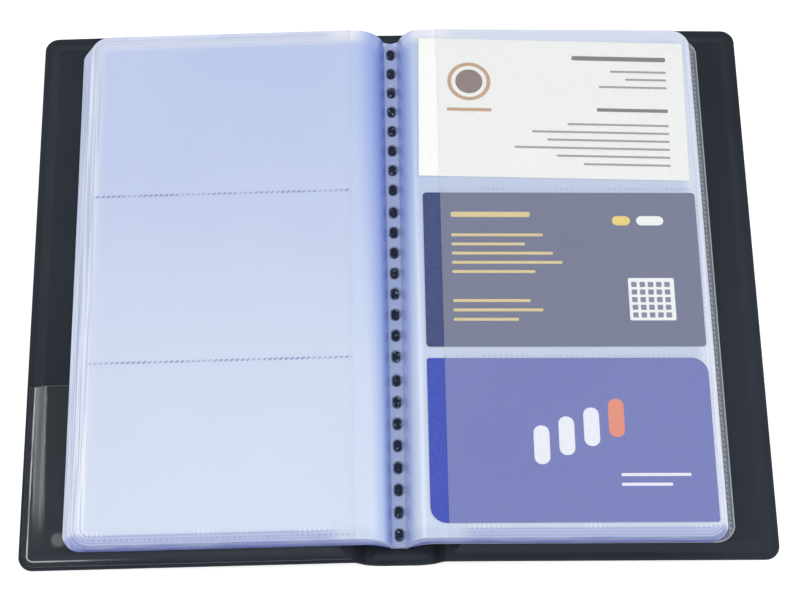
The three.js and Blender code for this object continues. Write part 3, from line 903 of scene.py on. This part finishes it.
def build_pages(films, clear_films, pocket_films):
    """Both halves of the block and the page that turns. The lowest leaf on the right is clear."""
    for number in range(1, SHEETS + 1):
        leaf(LEFT, "left", number, films)
    for number in range(1, SHEETS):
        leaf(RIGHT, "right", number, clear_films if number == 1 else films)
    turning_page(films)
    for name, side, body, page, fall in (
        ("left", LEFT, "left_leaves", f"left_leaf_{SHEETS:02d}", 2.5 * MM),
        ("turning", RIGHT, "turning_page", "turning_page_film", 0.4 * MM),
    ):
        pocket_film(name, side, body, pocket_films, plane_box(page, side)[1].z, fall)


# Binding
POINT_HALF_WIDTH = 1.15 * MM
POINT_STRAIGHT = 0.7 * MM
DIP = 0.62 * MM
HALO_SHADE = 0.85
ROUND_OVER = 0.2 * MM
END_RISE = 1.3 * MM
END_ROOM = 2.2 * MM  # from the middle of the last point to where the folds start to thicken
GHOST_AT = 0.7  # of the folds' half width: where a painted dark image of a point, refracted by the films, lies beside its place
GHOST_STRAIGHT = 0.9 * MM
GHOST_HALF_WIDTH = 0.3 * MM
GHOST_SHADE = 0.5


def point_rows():
    """Middle of each weld point, read from the tops of the binding strip's points."""
    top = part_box("binding_strip")[1].z
    rows = sorted(point.y for point in corner_points("binding_strip") if point.z > top - 0.02 * MM)
    groups = [[rows[0]]]
    for y in rows[1:]:
        if y - groups[-1][-1] > 2 * MM:
            groups.append([])
        groups[-1].append(y)
    return [(group[0] + group[-1]) / 2 for group in groups]


def inside_oblong(x, y, straight, half_width):
    """How far a place lies inside an upright oblong at the origin, negative outside it."""
    return half_width - math.hypot(x, max(abs(y) - straight, 0))


def fold_strip(material, end_material):
    """The fused folds of all sheets, drawn down round each weld point and thicker at the ends."""
    columns, rows = 36, 620
    half = fold_high.x
    centres = point_rows()
    last_point = centres[-1] + END_ROOM
    vertices, places = [], []
    for sign in (1, 0):
        for i in range(columns + 1):
            for j in range(rows + 1):
                x = half * (2 * i / columns - 1)
                y = PAGE_HALF * (2 * j / rows - 1)
                off_y = min((y - centre for centre in centres), key=abs)
                inside = inside_oblong(x, off_y, POINT_STRAIGHT, POINT_HALF_WIDTH)
                dip = DIP * smooth(inside, -0.8 * MM, 0)
                ends = END_RISE * smooth(abs(y), last_point, PAGE_HALF) * (x / half) ** 2
                top = fold_high.z - dip - ROUND_OVER * smooth(abs(x), half * 0.7, half) + ends
                # Painted shade in the dip round each point, and a painted image of the point
                # refracted beside it, go to the fold's shader in the sheet attribute.
                halo = HALO_SHADE * smooth(inside, -0.6 * MM, -0.05 * MM)
                off_x = x - GHOST_AT * half
                inside = inside_oblong(off_x, off_y, GHOST_STRAIGHT, GHOST_HALF_WIDTH)
                ghost = GHOST_SHADE * smooth(inside, -0.3 * MM, 0.2 * MM)
                vertices.append((x, y, top if sign else fold_low.z))
                places.append((x, y, max(halo, ghost)))
    faces, slots = sheet_faces(columns + 1, rows + 1)
    made = add_mesh("fold_strip", vertices, faces, [material, end_material], slots, places)
    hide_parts("bound_folds")
    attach(made, "spine")


# Rings of a point: inset, and height over its top, in mm
POINT_PROFILE = ((0.85, -0.1), (0.55, -0.08), (0.3, -0.02), (0.14, 0), (0, -0.12))


def binding_points(material):
    """The black strip, with its oblong points standing up through the folds."""
    low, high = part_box("binding_strip")
    foot = fold_low.z
    steps = 10
    vertices, faces = [], []
    base = [(low.x, low.y), (high.x, low.y), (high.x, high.y), (low.x, high.y)]
    for z in (foot - 0.1 * MM, low.z):
        vertices += [(x, y, z) for x, y in base]
    faces += loft_faces(2, len(base))
    levels = [(inset * MM, high.z + z * MM) for inset, z in POINT_PROFILE] + [(0, foot)]
    for middle in point_rows():
        first = len(vertices)
        for inset, z in levels:
            radius = POINT_HALF_WIDTH - inset
            for end in (0, 1):
                y = middle + (-POINT_STRAIGHT if end else POINT_STRAIGHT)
                for k in range(steps + 1):
                    angle = math.pi * (k / steps + end)
                    vertices.append((radius * math.cos(angle), y + radius * math.sin(angle), z))
        faces += loft_faces(len(levels), 2 * (steps + 1), first)
    made = add_mesh("binding_strip_points", vertices, faces, [material])
    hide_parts("binding_strip")
    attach(made, "spine")


# Clear pocket of the front cover
FRONT_FILM = 0.16 * MM
FRONT_CORNER = 3.5 * MM  # radius of its near outer corner
FRONT_WELD, FRONT_FALL = 1.6 * MM, 4.2 * MM  # width of its flat weld, and of the rise beside it


def front_pocket(material, edge):
    """A clear film over the near third of the front cover, open at its far edge."""
    low, high = plane_box("front_clear_pocket", LEFT)
    across, down = 61, 41
    columns = [low.x + (high.x - low.x) * k / (across - 1) for k in range(across)]
    rows = [low.y + (high.y - low.y) * k / (down - 1) for k in range(down)]
    vertices, places = [], []
    for lift in (FRONT_FILM, 0):
        for x in columns:
            over_x = x - (high.x - FRONT_CORNER)
            drop = math.sqrt(max(FRONT_CORNER**2 - max(over_x, 0) ** 2, 0))
            for y in rows:
                y = max(y, low.y + FRONT_CORNER - drop)
                over_y = low.y + FRONT_CORNER - y
                past = math.hypot(max(over_x, 0), max(over_y, 0))
                inset = FRONT_CORNER - past - min(max(over_x, over_y), 0)
                inside = min(x - low.x, high.x - x, y - low.y)
                share = share_of(inside, FRONT_WELD, FRONT_WELD + FRONT_FALL)
                rise = math.sin(share * math.pi / 2) ** 1.2
                w = low.z + lift + (high.z - low.z - FRONT_FILM) * rise
                vertices.append(on_cover(LEFT, x, y, w))
                places.append((inset, y, x))
    faces, slots = sheet_faces(across, down, True)
    made = add_mesh("front_pocket_film", vertices, faces, [material, edge], slots, places)
    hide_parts("front_clear_pocket")
    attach(made, "front_cover")


# Cards
INK_THICKNESS = 0.012 * MM
SOFT = 0.05 * MM  # bevel of a card's edge
TOP_CARD_TURN = math.radians(1.1)


class Card:
    """A card in its pocket. Places on it are right of and up from its near left corner. radii are
    that of its far right and near left corners, and that of the others."""

    def __init__(self, node, slot, tones, radii, turn=0.0):
        low, high = plane_box(node, RIGHT)
        across, up = high.x - low.x, high.y - low.y
        self.cos, self.sin = math.cos(turn), math.sin(turn)
        shrink = self.cos**2 - self.sin**2
        self.length = (across * self.cos - up * self.sin) / shrink
        self.height = (up * self.cos - across * self.sin) / shrink
        self.middle = (low + high) / 2
        self.top = high.z
        top, foot = high.z, low.z
        rings = ((SOFT, top), (0, top - SOFT), (0, foot + SOFT), (SOFT, foot))
        relief = (0.01 * MM, 0.4)
        grain, span = (1400.0, 3.0), (0.35, 0.65)
        stock = flecked(slot, 0.55, grain, span, tones, relief, Specular_IOR_Level=0.2)
        vertices = []
        for inset, w in rings:
            right, far = self.length - inset, self.height - inset
            corners = [max(radius - inset, 0.1 * MM) for radius in radii] * 2
            vertices += [self.place(x, y, w) for x, y in rounded(inset, inset, right, far, corners)]
        faces = loft_faces(len(rings), len(vertices) // len(rings))
        self.piece = add_mesh(f"{node}_stock", vertices, faces, [stock])
        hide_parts(node)
        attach(self.piece, node)

    def place(self, x, y, w):
        """(x, y, z) of a place on the card."""
        dx, dy = x - self.length / 2, y - self.height / 2
        x = self.middle.x + dx * self.cos + dy * self.sin
        return on_cover(RIGHT, x, self.middle.y - dx * self.sin + dy * self.cos, w)


# Printing, placed in millimetres on its card
def bar(x, y, width, height, radius=None):
    """Outline of a bar with rounded corners."""
    radius = height * 0.3 if radius is None else radius
    return rounded(x, y, x + width, y + height, [radius] * 4, 4)


def lines(x, y, lengths, pitch, height, to_right=False):
    """Bars of the given lengths under each other, like lines of small type."""
    starts = [x - length if to_right else x for length in lengths]
    return [bar(start, y - pitch * k, lengths[k], height) for k, start in enumerate(starts)]


def disc(x, y, radius, sides=40):
    """Outline of a disc."""
    turns = [2 * math.pi * k / sides for k in range(sides)]
    return [(x + radius * math.cos(turn), y + radius * math.sin(turn)) for turn in turns]


def ring(x, y, inner, outer, sides=48):
    """Outlines of the short pieces of a ring."""
    ins, outs = disc(x, y, inner, sides), disc(x, y, outer, sides)
    return [(outs[k - 1], outs[k], ins[k], ins[k - 1]) for k in range(sides)]


def print_on(card, name, ink_name, code, outlines, over=0):
    """Flat inked shapes on a card. over is the number of prints that lie below them."""
    base = card.top + INK_THICKNESS * over
    vertices, faces = [], []
    for outline in outlines:
        faces += loft_faces(2, len(outline), len(vertices))
        for w in (base + INK_THICKNESS, base):
            vertices += [card.place(x * MM, y * MM, w) for x, y in outline]
    made = add_mesh(name, vertices, faces, [ink(ink_name, code)])
    made.parent = card.piece


def top_card():
    """Cream card: a ringed disc beside lines of grey bars."""
    tones, radii = ("#F1F2EC", "#F8F8F4"), (0.4 * MM, 0.4 * MM)
    card = Card("card_top", "card_cream", tones, radii, TOP_CARD_TURN)
    small = lines(84, 40.5, (19, 14, 23), 3.0, 0.8, True)
    small += lines(84, 20, (34, 46, 41, 52, 38, 29), 3.0, 0.8, True)
    print_on(card, "card_top_lines", "ink_grey", "#8C8C8A", small)
    title = [bar(52, 45, 32, 1.7), bar(60, 25.4, 24, 1.3)]
    print_on(card, "card_top_title", "ink_dark", "#4B4A4C", title)
    print_on(card, "card_top_disc", "ink_brown", "#6A4A3C", [disc(17, 36, 4.6)])
    emblem = ring(17, 36, 6.0, 7.3) + [bar(9.5, 24.6, 15, 1.2)]
    print_on(card, "card_top_ring", "ink_tan", "#B98D5C", emblem)


def middle_card():
    """Navy card: gold lines, and a white square with a plain grid."""
    card = Card("card_middle", "card_navy", ("#3F4973", "#47517C"), (1.2 * MM, 1.2 * MM))
    gold = [bar(9, 46, 26, 1.9), *lines(9, 39, (30, 24, 33, 36, 27), 3.3, 1.0)]
    gold += lines(9, 15.5, (25, 29, 21), 3.3, 1.0)
    print_on(card, "card_middle_lines", "ink_gold", "#D9C27C", gold)
    white = [bar(66, 9, 15, 15, 0.6), bar(70, 43, 9, 3.4, 1.7)]
    print_on(card, "card_middle_square", "ink_white", "#F2F3F0", white)
    places = [(67 + 2.7 * k, 10 + 2.7 * m) for k in range(5) for m in range(5)]
    grid = [bar(x, y, 1.8, 1.8, 0.2) for x, y in places]
    print_on(card, "card_middle_grid", "ink_slate", "#5B6488", grid, over=1)
    print_on(card, "card_middle_mark", "ink_yellow", "#EBCB4A", [bar(62, 43, 6, 3.4, 1.7)])


def bottom_card():
    """Blue card: leaning white bars and an orange one."""
    card = Card("card_bottom", "card_blue", ("#4150AC", "#4856B3"), (5.3 * MM, 0.8 * MM))
    pale = [bar(33 + 8 * k, 19 + 3 * k, 5, 13, 2.4) for k in range(3)]
    pale += lines(60, 15, (22, 16), 3.2, 1.0)
    print_on(card, "card_bottom_bars", "ink_pale", "#E9EBF4", pale)
    print_on(card, "card_bottom_accent", "ink_orange", "#E0703C", [bar(57, 28, 5, 13, 2.4)])


# Floor, light and camera
FLOOR_HALF = 3.0
FLOOR_Z = -0.05 * MM
FLOOR_GLOW = 0.45
SKY_STRENGTH = 0.55


def build_floor():
    """A pale floor, which glows where it is seen but doesn't light the album."""
    shader = Shader("floor", 0.9, Base_Color=(0.88, 0.88, 0.88, 1), Emission_Color=(1, 1, 1, 1))
    shader.set("Emission Strength", shader.seen() * FLOOR_GLOW)
    ends = ((-1, -1), (1, -1), (1, 1), (-1, 1))
    corners = [(x * FLOOR_HALF, y * FLOOR_HALF, FLOOR_Z) for x, y in ends]
    floor = add_mesh("floor", corners, [(0, 1, 2, 3)], [shader.material])


def build_world():
    """A soft sky that lights the album, and a white backdrop where it is seen."""
    world = bpy.data.worlds.new("studio")
    bpy.context.scene.world = world
    nodes = Nodes(world)
    sky, output = (nodes.tree.nodes[name] for name in ("Background", "World Output"))
    nodes.feed(sky.inputs["Color"], (0.95, 0.97, 1.0, 1))
    nodes.feed(sky.inputs["Strength"], SKY_STRENGTH)
    backdrop = nodes.node("ShaderNodeBackground", Color=(1, 1, 1, 1), Strength=1.0)
    switch = nodes.node("ShaderNodeMixShader")
    sources = (nodes.seen(), Value(nodes, sky.outputs[0]), Value(nodes, backdrop.outputs[0]))
    for socket, source in zip(switch.inputs, sources):
        nodes.feed(socket, source)
    nodes.feed(output.inputs["Surface"], Value(nodes, switch.outputs[0]))


def aim(name, data, place, target, roll=0.0):
    """A light or camera at a place, turned to its target."""
    turn = (Vector(target) - Vector(place)).to_track_quat("-Z", "Y").to_matrix()
    made = bpy.data.objects.new(name, data)
    made.matrix_world = Matrix.Translation(place) @ (turn @ Matrix.Rotation(roll, 3, "Z")).to_4x4()
    bpy.context.scene.collection.objects.link(made)
    return made


def area_light(name, place, target, size, power, shine=1.0):
    """A rectangular light. shine is its share in reflections."""
    data = bpy.data.lights.new(name, "AREA")
    data.shape = "RECTANGLE"
    data.size, data.size_y = size
    data.energy = power
    data.specular_factor = shine
    aim(name, data, place, target)


def build_camera():
    """The camera of the photograph."""
    data = bpy.data.cameras.new("camera")
    data.lens = VIEW_LENS
    data.sensor_width = 36
    data.clip_start, data.clip_end = 0.01, 20
    level = math.cos(VIEW_ELEVATION)
    x, y = math.sin(VIEW_AZIMUTH) * level, -math.cos(VIEW_AZIMUTH) * level
    place = VIEW_TARGET + Vector((x, y, math.sin(VIEW_ELEVATION))) * VIEW_DISTANCE
    bpy.context.scene.camera = aim("camera", data, place, VIEW_TARGET, VIEW_ROLL)


bpy.context.scene.view_settings.view_transform = "Standard"
build_camera()
build_floor()
build_world()
area_light("softbox_near", (0.1, -0.75, 1.1), (0, -0.03, 0), (0.9, 0.5), 7, 0.1)
area_light("softbox_left", (-1.0, 0.45, 0.95), (0, 0, 0), (0.5, 0.9), 4.5, 0.1)
area_light("softbox_right", (1.1, 0.1, 1.0), (0, 0, 0), (0.5, 0.9), 4)

black = vinyl("black_vinyl", "#16191F", "#1C2026")
lining_black = vinyl("lining_vinyl", "#1D2229", "#262C35")
tones = ("#86817A", "#A9A498")
greyboard = flecked("greyboard", 0.9, (700.0, 4.0), (0.35, 0.7), tones, (0.05 * MM, 0.5))
build_case(black, lining_black, greyboard)

page = page_film()
edge = film_edge()
pocket = welded_film("pocket_film", page_high.x, 0.15, 0.11, 0.55, "#DCDEE4", "#8C92CC")
clear_end = plane_box("right_leaf_01", RIGHT)[1].x
clear = welded_film("clear_page_film", clear_end, 1.0, 0.12, 0.42, "#D0D8E2", "#B4BCC4", 0.4)
clear_edge = clear_film_edge()
build_pages([page, edge], [clear, clear_edge], [pocket, edge])
fold_strip(fold_film(), fold_end())
binding_points(glossy_points())
front_pocket(front_pocket_film(), clear_edge)
top_card()
middle_card()
bottom_card()
